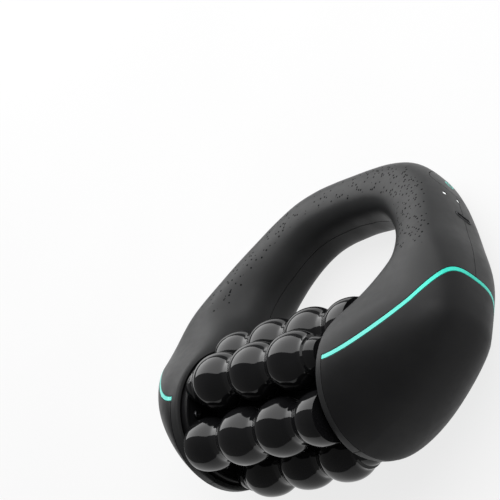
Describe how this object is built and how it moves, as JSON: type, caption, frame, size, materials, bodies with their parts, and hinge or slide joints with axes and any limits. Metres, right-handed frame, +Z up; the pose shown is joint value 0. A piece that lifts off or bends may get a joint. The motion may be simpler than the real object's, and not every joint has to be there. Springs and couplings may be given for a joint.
{
  "type": "massage roller",
  "caption": "Hand-held massage roller: ring-shaped handle whose domed cheeks carry a motor-driven drum of free-turning bead rollers.",
  "frame": {"origin": "centre of the bounding box's bottom, on the surface that the object lies on", "axes": "lying on its back: +X along the drum's axis toward the cheek under the power button, +Y from the drum toward the arch, +Z up, toward the front of the object"},
  "size_m": [0.1934, 0.148, 0.0741],
  "materials": {
    "shell": "satin charcoal",
    "cheek_cover": "satin dark charcoal",
    "light_strip": "translucent teal light guide",
    "status_light": "translucent white light guide",
    "bead": "gloss black",
    "carrier": "satin black",
    "inner_frame": "moulded black",
    "steel": "drawn steel",
    "motor_case": "plated can",
    "cell_case": "sleeved can",
    "circuit_board": "solder mask"
  },
  "bodies": {
    "housing": {"front_shell": "shell", "back_shell": "shell", "right_cheek_cover": "cheek_cover", "left_cheek_cover": "cheek_cover", "right_light_strip": "light_strip", "left_light_strip": "light_strip", "right_light_board": "circuit_board", "left_light_board": "circuit_board", "right_end_plate": "inner_frame", "left_end_plate": "inner_frame", "drive_motor": "motor_case", "motor_gearbox": "motor_case", "battery_cell": "cell_case", "battery_saddle_right": "inner_frame", "battery_saddle_left": "inner_frame", "control_board": "circuit_board", "button_switch": "inner_frame", "charging_socket": "steel", "charging_tongue": "inner_frame", "status_light_front": "status_light", "status_light_middle": "status_light", "status_light_back": "status_light"},
    "drum": {"right_carrier": "carrier", "left_carrier": "carrier", "core_tube": "carrier", "drive_coupler": "inner_frame", "output_shaft": "steel", "right_bearing": "steel", "left_bearing": "steel", "spindle_1": "steel", "spindle_2": "steel", "spindle_3": "steel", "spindle_4": "steel", "spindle_5": "steel", "spindle_6": "steel"},
    "bead_roller_1": {"roller_1": "bead"},
    "bead_roller_2": {"roller_2": "bead"},
    "bead_roller_3": {"roller_3": "bead"},
    "bead_roller_4": {"roller_4": "bead"},
    "bead_roller_5": {"roller_5": "bead"},
    "bead_roller_6": {"roller_6": "bead"},
    "button": {"power_button": "shell"}
  },
  "joints": [
    {"name": "drum_spin", "type": "hinge", "parent": "housing", "child": "drum", "pos_m": [0, -0.0376, 0.03728], "axis": [1, 0, 0], "continuous": true},
    {"name": "roller_1_spin", "type": "hinge", "parent": "drum", "child": "bead_roller_1", "pos_m": [0, -0.03185, 0.06198], "axis": [1, 0, 0], "continuous": true},
    {"name": "roller_2_spin", "type": "hinge", "parent": "drum", "child": "bead_roller_2", "pos_m": [0, -0.05611, 0.05461], "axis": [1, 0, 0], "continuous": true},
    {"name": "roller_3_spin", "type": "hinge", "parent": "drum", "child": "bead_roller_3", "pos_m": [0, -0.06186, 0.02991], "axis": [1, 0, 0], "continuous": true},
    {"name": "roller_4_spin", "type": "hinge", "parent": "drum", "child": "bead_roller_4", "pos_m": [0, -0.04335, 0.01258], "axis": [1, 0, 0], "continuous": true},
    {"name": "roller_5_spin", "type": "hinge", "parent": "drum", "child": "bead_roller_5", "pos_m": [0, -0.01908, 0.01995], "axis": [1, 0, 0], "continuous": true},
    {"name": "roller_6_spin", "type": "hinge", "parent": "drum", "child": "bead_roller_6", "pos_m": [0, -0.01333, 0.04465], "axis": [1, 0, 0], "continuous": true},
    {"name": "power_press", "type": "slide", "parent": "housing", "child": "button", "axis": [-0.8077, -0.5742, 0.1337], "range_m": [0, 0.0006], "stiffness_N_per_m": 1500}
  ]
}
